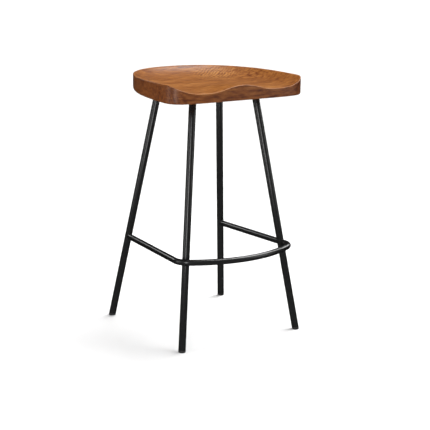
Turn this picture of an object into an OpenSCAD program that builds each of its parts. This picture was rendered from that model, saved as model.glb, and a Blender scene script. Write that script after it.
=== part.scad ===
// Counter-height stool: a carved wooden saddle seat on a welded steel base with a bent footrest.
// The front faces -Y, left is -X as seen from the front, and the floor is Z = 0.
// The origin is on the floor under the middle of the stool's overall box.

/* [Overall] */
// Height from the floor to the rim of the seat
overall_h = 685.8; // [560:0.1:830]

/* [Seat] */
// Width of the seat where it is widest
seat_w = 419.1; // [345:0.1:510]
// Thickness of the seat at its rim
seat_t = 48; // [38:0.5:60]
// From the middle of the legs to the seat's front edge
seat_front = 169.5; // [140:0.5:205]
// From the middle of the legs to the seat's back edge
seat_back = 185; // [150:0.5:225]
// How far in front of the legs' middle the seat is widest
seat_wide_y = 73; // [30:1:95]
// How square the two back corners are (2 is an ellipse)
back_squareness = 2.25; // [2:0.05:4]
// How square the two front corners are
front_squareness = 5.5; // [3:0.1:9]
// Wood left under the two thigh scoops
scoop_t = 24; // [20:0.5:30]
// Height of the pommel at the front edge, above the underside
pommel_t = 39.5; // [32:0.5:46]
// Half of the pommel's width at its foot
pommel_half_w = 102; // [80:1:130]
// Length of the pommel's ridge, front to back
pommel_len = 148; // [90:1:170]
// Width of the dish's flat bottom, as a share of the seat
dish_flat = 0.5; // [0.2:0.05:0.7]
// How late the dish rises to the rim (2 is a parabola)
dish_power = 2.8; // [1.6:0.1:4]
// Rounding of the top edge
edge_r = 2; // [1:0.25:4]
// Height of the bottom edge's round-over at the front
under_front_h = 5; // [2:0.5:8]
// How far the bottom edge's round-over goes in at the front
under_front_in = 3; // [2:0.5:8]
// Height of the bottom edge's round-over at the back
under_back_h = 16; // [8:0.5:30]
// How far the bottom edge's round-over goes in at the back
under_back_in = 18; // [8:0.5:30]

/* [Legs] */
// Outer diameter of the leg tube
leg_d = 19; // [15:0.5:24]
// Wall of the leg tube
leg_wall = 1.5; // [1:0.1:2.5]
// Left to right between the feet's centres
foot_span_x = 367.2; // [300:0.1:445]
// Front to back between the feet's centres
foot_span_y = 362.4; // [300:0.1:440]
// Left to right between the leg tops' centres
top_span_x = 196.4; // [160:0.1:240]
// Front to back between the leg tops' centres
top_span_y = 168.8; // [135:0.1:205]
// Height of the foot plug below the tube
plug_h = 6; // [4:0.5:10]
// How far the foot plug reaches into the tube
plug_depth = 18; // [10:1:30]

/* [Footrest] */
// Height of the footrest's centre line above the floor
rest_z = 231; // [150:1:320]
// Outer diameter of the footrest tube
rest_d = 16; // [12:0.5:20]
// Wall of the footrest tube
rest_wall = 1.5; // [1:0.1:2.5]
// Radius of the two corner bends, on the centre line
bend_r = 38; // [26:1:46]
// How far the bow stands in front of the front legs, centre to centre
bow_reach = 61.7; // [50:0.1:80]
// Direction in which a front leg touches the bend, off the sideways line
touch_angle = 42; // [30:1:55]

/* [Frame under the seat] */
// Width of the flat steel bars
bar_w = 30; // [26:0.5:40]
// Thickness of the flat steel bars
bar_t = 5; // [3:0.5:8]
// From the middle of a side bar to each of its screws
side_hole_y = 42; // [30:1:50]
// From the middle of a cross bar to each of its screws
cross_hole_x = 45; // [30:1:60]

/* [Fasteners] */
// Thread diameter of the seat screws
screw_d = 6; // [4:0.5:7.5]
// Head diameter of the seat screws
head_d = 10.5; // [9:0.5:14]
// Head height of the seat screws
head_h = 3.3; // [2.5:0.1:5]
// Size across the flats of the hexagon socket
socket_af = 4; // [2.5:0.5:5]
// Washer diameter
washer_d = 12.5; // [11.5:0.5:18]
// Washer thickness
washer_t = 1.6; // [0.8:0.1:2.5]
// Outer diameter of the threaded inserts
insert_d = 10; // [9:0.5:13]
// Length of the threaded inserts
insert_len = 13; // [8:0.5:15]

/* [Welds and fits] */
// Size of the weld beads round the leg tops
top_bead = 3.5; // [2:0.5:5]
// Size of the weld beads on the footrest
rest_bead = 2.5; // [1.5:0.5:4]
// Gap that the front footrest welds fill
weld_gap = 0.3; // [0.2:0.05:1]
// Gap round a coped tube end, and round a plug in its tube
fit_gap = 0.1; // [0.05:0.05:0.3]
// Extra diameter of the holes in the bars and washers over the screw
hole_play = 0.8; // [0.4:0.1:2]

/* [Hidden] */
$fn = 96;
wood = [0.60, 0.36, 0.18];
black_steel = [0.07, 0.07, 0.07];
black_plastic = [0.12, 0.12, 0.12];
zinc = [0.72, 0.73, 0.75];
brass = [0.76, 0.62, 0.32];

// Where the legs run: from a foot on the floor to the underside of the frame
foot_x = foot_span_x / 2;
foot_y = foot_span_y / 2;
top_x = top_span_x / 2;
top_y = top_span_y / 2;
seat_z = overall_h - seat_t;
frame_z = seat_z - bar_t;
lean_x = foot_x - top_x;
lean_y = foot_y - top_y;
tilt = atan(norm([lean_x, lean_y]) / frame_z);
leg_len = frame_z / cos(tilt);
leg_r = leg_d / 2;
past = 30;
slab_w = 1000;

// How far a cut goes past the face that it opens, and where a weld bead starts off the tube
cut = 1;
weld_root = 0.3;

// The footrest in plan, for its right half: rear leg, bend centre and bow centre
bend_neck = 0.1;
bend_lap = 0.4;
rest_r = rest_d / 2;
leg_at_rest = [foot_x - lean_x * rest_z / frame_z, foot_y - lean_y * rest_z / frame_z];
touch_r = (leg_r + rest_r + weld_gap) / cos(tilt);
bend_in = bend_r - touch_r;
bend_c = [leg_at_rest[0] - bend_in * cos(touch_angle), -leg_at_rest[1] + bend_in * sin(touch_angle)];
bow_front = leg_at_rest[1] + bow_reach;
bow_ahead = bend_c[1] + bow_front;
bow_r = (pow(bend_c[0], 2) + pow(bow_ahead, 2) - pow(bend_r, 2)) / (2 * (bow_ahead - bend_r));
bow_c = [0, bow_r - bow_front];
to_bend = bend_c - leg_at_rest;
rail_len = sqrt(pow(norm(to_bend), 2) - pow(bend_r, 2));
rail_dir = atan2(to_bend[1], to_bend[0]) + asin(bend_r / norm(to_bend));
bow_dir = atan2(bend_c[1] - bow_c[1], bend_c[0]);

// Front to back, everything is placed from the legs' middle, which sits off the origin
front_reach = max(bow_front + rest_r, seat_front);
back_reach = max(foot_y + leg_r / cos(atan(lean_y / frame_z)), seat_back);
base_y = (front_reach - back_reach) / 2;

// Screws, as places in the frame
screws = concat(
    [for (sx = [-1, 1], sy = [-1, 1]) [sx * top_x, sy * side_hole_y]],
    [for (sx = [-1, 1], sy = [-1, 1]) [sx * cross_hole_x, sy * top_y]]
);
screw_grip = 11;
bar_hole_d = screw_d + hole_play;

// ---- seat shape ----

// How the seat is cut into facets: round the edge, up the round-over, over the top edge
seat_steps = 120;
under_steps = 5;
edge_steps = 3;
dish_rings = [0.97, 0.94, 0.9, 0.86, 0.81, 0.76, 0.7, 0.64, 0.57, 0.5, 0.42, 0.34, 0.26, 0.17, 0.08];
rim_land = 0.985;

half_w = seat_w / 2;
back_len = seat_back + seat_wide_y;
front_len = seat_front - seat_wide_y;

function smooth(t) = let (c = min(max(t, 0), 1)) c * c * (3 - 2 * c);
function mix(a, b, t) = a + (b - a) * t;

// Distance from the widest line's middle to the edge, in the direction a
function edge_at(a) =
    let (len = sin(a) > 0 ? back_len : front_len)
    let (n = sin(a) > 0 ? back_squareness : front_squareness)
    pow(pow(abs(cos(a)) / half_w, n) + pow(abs(sin(a)) / len, n), -1 / n);

// How much of the back's round-over there is in the direction a
function under_share(a) = smooth((sin(a) + 0.5) / 0.97);
function under_h(a) = mix(under_front_h, under_back_h, under_share(a));
function under_in(a) = mix(under_front_in, under_back_in, under_share(a));

// Height of the carved top above the underside
function dish_rho(x, y) =
    let (n = back_squareness)
    pow(pow(abs(x) / half_w, n) + pow(max(y + seat_wide_y, 0) / back_len, n), 1 / n);
function dish_rise(x, y) =
    pow(max(min(dish_rho(x, y), rim_land) - dish_flat, 0) / (rim_land - dish_flat), dish_power);
function pommel_fade(y) = pow(cos(90 * min(max((y + seat_front) / pommel_len, 0), 1)), 1.2);
function pommel(x, y) = (0.5 + 0.5 * cos(180 * min(abs(x) / pommel_half_w, 1))) * pommel_fade(y);
function top_at(x, y) =
    scoop_t + (seat_t - scoop_t) * dish_rise(x, y) + (pommel_t - scoop_t) * pommel(x, y);

function seat_xy(a, r) = [r * cos(a), r * sin(a) - seat_wide_y];
function on_top(a, r, drop) = let (p = seat_xy(a, r)) [p[0], p[1], top_at(p[0], p[1]) - drop];
function low(a, r, z) = let (p = seat_xy(a, r)) [p[0], p[1], z];

directions = [for (i = [0 : seat_steps - 1]) i * 360 / seat_steps];
under_rings = [for (k = [0 : under_steps]) [for (a = directions) let (b = 90 * k / under_steps)
    low(a, edge_at(a) - under_in(a) * (1 - sin(b)), under_h(a) * (1 - cos(b)))]];
edge_rings = [for (k = [0 : edge_steps]) [for (a = directions) let (b = 90 * k / edge_steps)
    on_top(a, edge_at(a) - edge_r * (1 - cos(b)), edge_r * (1 - sin(b)))]];
top_rings = [for (s = dish_rings) [for (a = directions) on_top(a, edge_at(a) * s, 0)]];
rings = concat(under_rings, edge_rings, top_rings);
ring_n = len(rings);
seat_points = concat([for (ring = rings, p = ring) p], [low(0, 0, 0), on_top(0, 0, 0)]);
function at(k, i) = k * seat_steps + i % seat_steps;
seat_faces = concat(
    [for (k = [0 : ring_n - 2], i = [0 : seat_steps - 1]) [at(k, i), at(k + 1, i), at(k + 1, i + 1)]],
    [for (k = [0 : ring_n - 2], i = [0 : seat_steps - 1]) [at(k, i), at(k + 1, i + 1), at(k, i + 1)]],
    [for (i = [0 : seat_steps - 1]) [ring_n * seat_steps, at(0, i), at(0, i + 1)]],
    [for (i = [0 : seat_steps - 1]) [ring_n * seat_steps + 1, at(ring_n - 1, i + 1), at(ring_n - 1, i)]]
);

// ---- placing ----

// Puts a child on the legs' middle
module on_base(z) {
    translate([0, base_y, z]) children();
}

// Puts a child's Z axis along a leg, starting at its foot
module on_leg(sx, sy) {
    translate([sx * foot_x, base_y + sy * foot_y, 0])
        rotate([0, 0, atan2(-sy * lean_y, -sx * lean_x)])
            rotate([0, tilt, 0])
                children();
}

// A level slab between two heights, wider than the stool
module slab(z0, z1) {
    translate([-slab_w / 2, -slab_w / 2, z0]) cube([slab_w, slab_w, z1 - z0]);
}

module leg_rod(sx, sy, d) {
    on_leg(sx, sy) translate([0, 0, -past]) cylinder(d = d, h = leg_len + 2 * past);
}

module each_screw(z) {
    for (p = screws) on_base(z) translate([p[0], p[1], 0]) children();
}

// ---- seat ----

module seat() {
    hole_d = insert_d + fit_gap;
    color(wood) difference() {
        on_base(seat_z) polyhedron(points = seat_points, faces = seat_faces, convexity = 6);
        each_screw(seat_z - cut) cylinder(d = hole_d, h = insert_len + 2 * cut);
    }
}

// ---- legs ----

module leg(sx, sy) {
    color(black_steel) intersection() {
        difference() {
            leg_rod(sx, sy, leg_d);
            leg_rod(sx, sy, leg_d - 2 * leg_wall);
        }
        slab(plug_h, frame_z);
    }
}

module foot_plug(sx, sy) {
    color(black_plastic) {
        intersection() {
            leg_rod(sx, sy, leg_d);
            slab(0, plug_h);
        }
        intersection() {
            on_leg(sx, sy) cylinder(d = leg_d - 2 * leg_wall - 2 * fit_gap, h = plug_h + plug_depth);
            slab(plug_h / 2, plug_h + 2 * plug_depth);
        }
    }
}

// A cone round the leg's end, kept below the bar that it is welded to
module leg_weld(sx, sy) {
    color(black_steel) difference() {
        intersection() {
            on_leg(sx, sy) translate([0, 0, leg_len - top_bead])
                cylinder(r1 = leg_r + weld_root, r2 = leg_r + 2 * top_bead, h = 2 * top_bead);
            slab(frame_z - 4 * top_bead, frame_z);
        }
        leg_rod(sx, sy, leg_d);
    }
}

// ---- footrest ----

// Round bar of diameter d along the right rail, from a distance in front of the rear leg's middle
module rest_rail(d, start) {
    translate([leg_at_rest[0], leg_at_rest[1], 0]) rotate([0, 0, rail_dir]) rotate([0, 90, 0])
        translate([0, 0, start]) cylinder(d = d, h = rail_len - start);
}

// A bend draws the tube in by a hair, and its ends lap into the rail and the bow
module rest_bend(d) {
    lap = atan(bend_lap / bend_r);
    translate([bend_c[0], bend_c[1], 0]) rotate([0, 0, bow_dir - lap])
        rotate_extrude(angle = rail_dir + 90 - bow_dir + 2 * lap)
            translate([bend_r, 0]) circle(d = d - 2 * bend_neck);
}

module rest_bow(d) {
    half = bow_dir + 90;
    translate([0, bow_c[1], 0]) rotate([0, 0, -90 - half])
        rotate_extrude(angle = 2 * half) translate([bow_r, 0]) circle(d = d);
}

module rest_path(d) {
    on_base(rest_z) {
        rest_bow(d);
        for (side = [0, 1]) mirror([side, 0, 0]) {
            rest_rail(d, 0);
            rest_bend(d);
        }
    }
}

module footrest() {
    color(black_steel) difference() {
        rest_path(rest_d);
        rest_path(rest_d - 2 * rest_wall);
        for (sx = [-1, 1]) leg_rod(sx, 1, leg_d + 2 * fit_gap);
    }
}

// Collar of weld metal where a rail's coped end meets a rear leg
module rest_weld_rear(sx) {
    color(black_steel) difference() {
        intersection() {
            leg_rod(sx, 1, leg_d + 2 * rest_bead);
            on_base(rest_z) mirror([sx < 0 ? 1 : 0, 0, 0]) rest_rail(rest_d + 2 * rest_bead, leg_r / 3);
        }
        leg_rod(sx, 1, leg_d);
        on_base(rest_z) mirror([sx < 0 ? 1 : 0, 0, 0]) rest_rail(rest_d, 0);
    }
}

// Weld metal round the place where a front leg touches the bend
module rest_weld_front(sx) {
    color(black_steel) difference() {
        intersection() {
            leg_rod(sx, -1, leg_d + 2 * rest_bead);
            on_base(rest_z) mirror([sx < 0 ? 1 : 0, 0, 0]) rest_bend(rest_d + 2 * rest_bead);
        }
        leg_rod(sx, -1, leg_d);
        on_base(rest_z) mirror([sx < 0 ? 1 : 0, 0, 0]) rest_bend(rest_d);
    }
}

// ---- frame under the seat ----

module bar_holes() {
    each_screw(frame_z - cut) cylinder(d = bar_hole_d, h = bar_t + 2 * cut);
}

// The side bars run past the legs, the cross bars fit between them
module side_bar(sx) {
    length = top_span_y + bar_w;
    color(black_steel) difference() {
        on_base(frame_z) translate([sx * top_x - bar_w / 2, -length / 2, 0]) cube([bar_w, length, bar_t]);
        bar_holes();
    }
}

module cross_bar(sy) {
    length = top_span_x - bar_w;
    color(black_steel) difference() {
        on_base(frame_z) translate([-length / 2, sy * top_y - bar_w / 2, 0]) cube([length, bar_w, bar_t]);
        bar_holes();
    }
}

// Round beads standing in the four inner corners of the frame
module frame_corner_welds() {
    color(black_steel) for (sx = [-1, 1], sy = [-1, 1]) on_base(frame_z)
        translate([sx * (top_x - bar_w / 2), sy * (top_y - bar_w / 2), 0]) intersection() {
            cylinder(r = top_bead, h = bar_t);
            translate([sx > 0 ? -top_bead : 0, sy > 0 ? -top_bead : 0, 0]) cube([top_bead, top_bead, bar_t]);
        }
}

// ---- fasteners ----

module seat_screws() {
    length = washer_t + bar_t + screw_grip;
    color(zinc) each_screw(frame_z - washer_t) {
        cylinder(d = screw_d, h = length);
        translate([0, 0, -head_h]) difference() {
            cylinder(d1 = 0.8 * head_d, d2 = head_d, h = head_h);
            translate([0, 0, -cut]) cylinder(d = socket_af / cos(30), h = head_h / 2 + cut, $fn = 6);
        }
    }
}

module seat_washers() {
    color(zinc) each_screw(frame_z - washer_t) difference() {
        cylinder(d = washer_d, h = washer_t);
        translate([0, 0, -cut]) cylinder(d = bar_hole_d, h = washer_t + 2 * cut);
    }
}

module seat_inserts() {
    color(brass) each_screw(seat_z) difference() {
        cylinder(d = insert_d, h = insert_len);
        translate([0, 0, -cut]) cylinder(d = screw_d + fit_gap, h = insert_len + 2 * cut);
    }
}

seat();
leg(-1, -1);  // leg_front_left
leg(1, -1);  // leg_front_right
leg(-1, 1);  // leg_rear_left
leg(1, 1);  // leg_rear_right
foot_plug(-1, -1);  // foot_plug_front_left
foot_plug(1, -1);  // foot_plug_front_right
foot_plug(-1, 1);  // foot_plug_rear_left
foot_plug(1, 1);  // foot_plug_rear_right
footrest();
cross_bar(-1);  // frame_front_bar
cross_bar(1);  // frame_rear_bar
side_bar(-1);  // frame_left_bar
side_bar(1);  // frame_right_bar
frame_corner_welds();
leg_weld(-1, -1);  // leg_weld_front_left
leg_weld(1, -1);  // leg_weld_front_right
leg_weld(-1, 1);  // leg_weld_rear_left
leg_weld(1, 1);  // leg_weld_rear_right
rest_weld_front(-1);  // rest_weld_front_left
rest_weld_front(1);  // rest_weld_front_right
rest_weld_rear(-1);  // rest_weld_rear_left
rest_weld_rear(1);  // rest_weld_rear_right
seat_screws();
seat_washers();
seat_inserts();
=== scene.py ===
import math

import bmesh
import bpy
from mathutils import Matrix, Vector


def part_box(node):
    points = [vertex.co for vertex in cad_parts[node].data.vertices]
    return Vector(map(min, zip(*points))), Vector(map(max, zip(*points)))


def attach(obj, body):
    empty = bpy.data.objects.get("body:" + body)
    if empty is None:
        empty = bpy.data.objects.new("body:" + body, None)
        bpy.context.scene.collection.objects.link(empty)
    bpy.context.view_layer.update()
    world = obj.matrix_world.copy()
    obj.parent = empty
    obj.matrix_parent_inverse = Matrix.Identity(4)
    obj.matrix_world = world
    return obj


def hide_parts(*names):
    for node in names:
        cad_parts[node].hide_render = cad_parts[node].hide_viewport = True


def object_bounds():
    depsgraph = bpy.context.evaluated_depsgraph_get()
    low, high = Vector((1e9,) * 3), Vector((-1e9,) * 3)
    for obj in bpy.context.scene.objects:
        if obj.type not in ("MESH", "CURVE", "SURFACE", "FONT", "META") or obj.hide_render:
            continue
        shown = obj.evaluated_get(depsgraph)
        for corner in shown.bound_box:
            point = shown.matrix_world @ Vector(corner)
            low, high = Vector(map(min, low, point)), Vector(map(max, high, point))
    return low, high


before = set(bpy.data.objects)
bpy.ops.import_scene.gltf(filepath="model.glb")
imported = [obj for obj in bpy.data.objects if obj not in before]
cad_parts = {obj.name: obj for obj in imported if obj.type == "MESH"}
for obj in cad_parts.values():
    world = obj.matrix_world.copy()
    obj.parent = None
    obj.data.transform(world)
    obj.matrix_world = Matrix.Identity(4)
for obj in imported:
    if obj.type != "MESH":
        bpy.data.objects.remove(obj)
cad_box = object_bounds()

MM = 0.001
FULL_TURN = 2 * math.pi
HALF_TURN = math.pi
QUARTER_TURN = math.pi / 2


# ---- camera ----

def look(azimuth, elevation, roll, away, aim, lens):
    """A camera looking at a point from an azimuth and elevation in degrees, leaning by the roll."""
    a, e, r = math.radians(azimuth), math.radians(elevation), math.radians(roll)
    back = Vector((math.sin(a) * math.cos(e), -math.cos(a) * math.cos(e), math.sin(e)))
    right = (-back).cross(Vector((0, 0, 1))).normalized()
    up = right.cross(-back)
    leaned_right = right * math.cos(r) + up * math.sin(r)
    leaned_up = up * math.cos(r) - right * math.sin(r)
    camera = bpy.data.objects.new("studio_camera", bpy.data.cameras.new("studio_camera"))
    bpy.context.scene.collection.objects.link(camera)
    camera.data.lens = lens
    camera.data.sensor_width = 36
    camera.data.clip_end = 100
    turn = Matrix((leaned_right, leaned_up, back)).transposed().to_4x4()
    camera.matrix_world = Matrix.Translation(aim + back * away) @ turn
    return camera


bpy.context.scene.camera = look(
    azimuth=-34.24, elevation=13.67, roll=1.07, away=3.5116, aim=Vector((0.03228, 0.00895, 0.29923)),
    lens=108.16)


# ---- the stool's sizes, in millimetres, as designed ----

FLOOR_LOW = cad_box[0]
SEAT_LOW, SEAT_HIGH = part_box("seat")
SEAT_Z = SEAT_LOW.z / MM
RIM_T = (SEAT_HIGH.z - SEAT_LOW.z) / MM
SEAT_W = (SEAT_HIGH.x - SEAT_LOW.x) / MM

# The seat's outline, out from its widest line: front and back are two squared-off ovals
SEAT_FRONT = 169.5
SEAT_BACK = 185
SEAT_WIDE_Y = 73
FRONT_SQUARENESS = 5.5
BACK_SQUARENESS = 2.25
# Its carving: heights are over the flat underside
SCOOP_T = 24
DISH_FLAT = 0.5
DISH_FULL = 0.985
DISH_POWER = 2.8
POMMEL_T = 39.5
POMMEL_HALF_W = 102
POMMEL_LEN = 148
POMMEL_FADE = 1.2
SEAT_EDGE_R = 2
# How high the underside's round-over reaches, and how far in
UNDER_FRONT_H, UNDER_FRONT_IN = 5, 3
UNDER_BACK_H, UNDER_BACK_IN = 16, 18

LEG_R = 9.5
LEG_WALL = 1.5
FOOT_X, FOOT_Y = 183.6, 181.2
TOP_X, TOP_Y = 98.2, 84.4
TUBE_EDGE = 0.35
PLUG_H = 6
PLUG_DEPTH = 18
PLUG_FIT = 0.1
PLUG_EDGE = 1.4

BAR_T = 5
BAR_W = 30
BAR_EDGE = 0.5
FRAME_Z = SEAT_Z - BAR_T

REST_Z = 231
REST_R = 8
BEND_R = 38
BOW_REACH = 61.7
TOUCH_ANGLE = math.radians(42)
WELD_GAP = 0.3

# Weld beads: their size, how far their middles stand off the steel, and their ripples
FRAME_BEAD_R = 2.3
FRAME_BEAD_OFF = 0.9
FRAME_BEAD_SHORT = 0.6
FRAME_RIPPLE = 2.6
REST_BEAD_R = 1.7
REST_BEAD_OFF = 0.5
REST_LOOP_START = 0.2
REST_RIPPLE = 2.2
RIPPLE_DEPTH = 0.22

SIDE_HOLE_Y = 42
CROSS_HOLE_X = 45
WASHER_T = 1.6
WASHER_R = 6.25
WASHER_HOLE_R = 3.4
WASHER_EDGE = 0.2
SCREW_R = 3
HEAD_R = 5.25
HEAD_H = 3.3
HEAD_EDGE = 0.35
SOCKET_AF = 4
THREAD_PITCH = 1.0
THREAD_DEPTH = 0.55
THREAD_START = WASHER_T + 2
THREAD_END = WASHER_T + BAR_T + 10
SCREW_END = WASHER_T + BAR_T + 11
INSERT_R = 5
INSERT_L = 13
INSERT_BORE_R = 3.05
INSERT_EDGE = 0.3
INSERT_GROOVE = 0.5

TILT = math.atan(math.hypot(FOOT_X - TOP_X, FOOT_Y - TOP_Y) / FRAME_Z)
AT_REST = (FRAME_Z - REST_Z) / FRAME_Z
REST_LEG_X = TOP_X + (FOOT_X - TOP_X) * AT_REST
REST_LEG_Y = TOP_Y + (FOOT_Y - TOP_Y) * AT_REST
BOW_FRONT = REST_LEG_Y + BOW_REACH
# The legs' middle stands this far behind the part's origin
BASE_Y = FLOOR_LOW.y / MM + BOW_FRONT + REST_R


# ---- small tools ----

def paint(colour):
    """An sRGB hex colour as the linear values that sockets take."""
    parts = [int(colour[i:i + 2], 16) / 255 for i in (1, 3, 5)]
    return (*[c / 12.92 if c <= 0.04045 else ((c + 0.055) / 1.055) ** 2.4 for c in parts], 1.0)


def feed(tree, node, feeds):
    """Feeds a node's inputs, in order or by key: a node or a socket is linked, and anything else is
    the input's value."""
    for key, value in feeds.items() if isinstance(feeds, dict) else enumerate(feeds):
        if isinstance(value, bpy.types.Node):
            value = value.outputs[0]
        if isinstance(value, bpy.types.NodeSocket):
            tree.links.new(value, node.inputs[key])
        else:
            node.inputs[key].default_value = value


def add(tree, kind, feeds=(), settings=None):
    """Adds one node with its settings, and feeds it."""
    node = tree.nodes.new(kind)
    for name, value in (settings or {}).items():
        setattr(node, name, value)
    feed(tree, node, feeds)
    return node


def new_tree(name, inputs, takes_geometry=False):
    """An empty geometry tree with named inputs. Returns the tree and a dict of its input sockets."""
    tree = bpy.data.node_groups.new(name, "GeometryNodeTree")
    tree.interface.new_socket("Geometry", in_out="OUTPUT", socket_type="NodeSocketGeometry")
    if takes_geometry:
        tree.interface.new_socket("Geometry", in_out="INPUT", socket_type="NodeSocketGeometry")
    for label, kind in inputs.items():
        tree.interface.new_socket(label, in_out="INPUT", socket_type="NodeSocket" + kind)
    way_in = add(tree, "NodeGroupInput")
    return tree, {s.name: s for s in way_in.outputs if s.name}


def end_tree(tree, geometry, known, smooth=True):
    """Every tree ends the same way: real geometry, smooth unless it is cut sharp, and its material."""
    if smooth:
        geometry = add(tree, "GeometryNodeSetShadeSmooth", {"Geometry": geometry})
    real = add(tree, "GeometryNodeRealizeInstances", {"Geometry": geometry})
    finish = add(tree, "GeometryNodeSetMaterial", {"Geometry": real, "Material": known["Material"]})
    add(tree, "NodeGroupOutput", [finish])


def grown(name, tree, values, start=None):
    """Runs a tree on a start object, and keeps the result as a plain mesh piece at the origin."""
    source = bpy.data.objects.new(name + "_start", start or bpy.data.meshes.new(name + "_start"))
    bpy.context.scene.collection.objects.link(source)
    modifier = source.modifiers.new(name, "NODES")
    modifier.node_group = tree
    for item in tree.interface.items_tree:
        if item.in_out == "INPUT" and item.name in values:
            modifier[item.identifier] = values[item.name]
    source.update_tag()
    graph = bpy.context.evaluated_depsgraph_get()
    mesh = bpy.data.meshes.new_from_object(source.evaluated_get(graph), depsgraph=graph)
    mesh.name = name
    source.modifiers.remove(modifier)
    bpy.data.objects.remove(source)
    piece = bpy.data.objects.new(name, mesh)
    bpy.context.scene.collection.objects.link(piece)
    return piece


def kept(piece, node):
    """The piece stands for a CAD node, which it hides, and rides on the one body."""
    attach(piece, "root")
    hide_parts(node)


def placed(x, y, z):
    """A place given in millimetres from the legs' middle, as metres from the part's origin."""
    return Vector((x, y + BASE_Y, z)) * MM


def centre_line(runs, closed=False):
    """One curve with a line through each run of points, in millimetres from the legs' middle."""
    curve = bpy.data.curves.new("centre_line", "CURVE")
    curve.dimensions = "3D"
    for points in runs:
        spline = curve.splines.new("POLY")
        spline.points.add(len(points) - 1)
        for knot, place in zip(spline.points, points):
            knot.co = (*placed(*place), 1)
        spline.use_cyclic_u = closed
    return curve


# ---- materials ----

def new_material(name):
    """A material with its shader and an Object coordinate to start from."""
    material = bpy.data.materials.new(name)
    material.use_nodes = True
    tree = material.node_tree
    shader = tree.nodes["Principled BSDF"]
    place = add(tree, "ShaderNodeTexCoord").outputs["Object"]
    return material, tree, shader, place


def grade(ramp, stops):
    """Sets a colour ramp's stops, as places and hex colours."""
    elements = ramp.color_ramp.elements
    while len(elements) < len(stops):
        elements.new(0.5)
    for element, (place, colour) in zip(elements, stops):
        element.position = place
        element.color = paint(colour)


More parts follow.
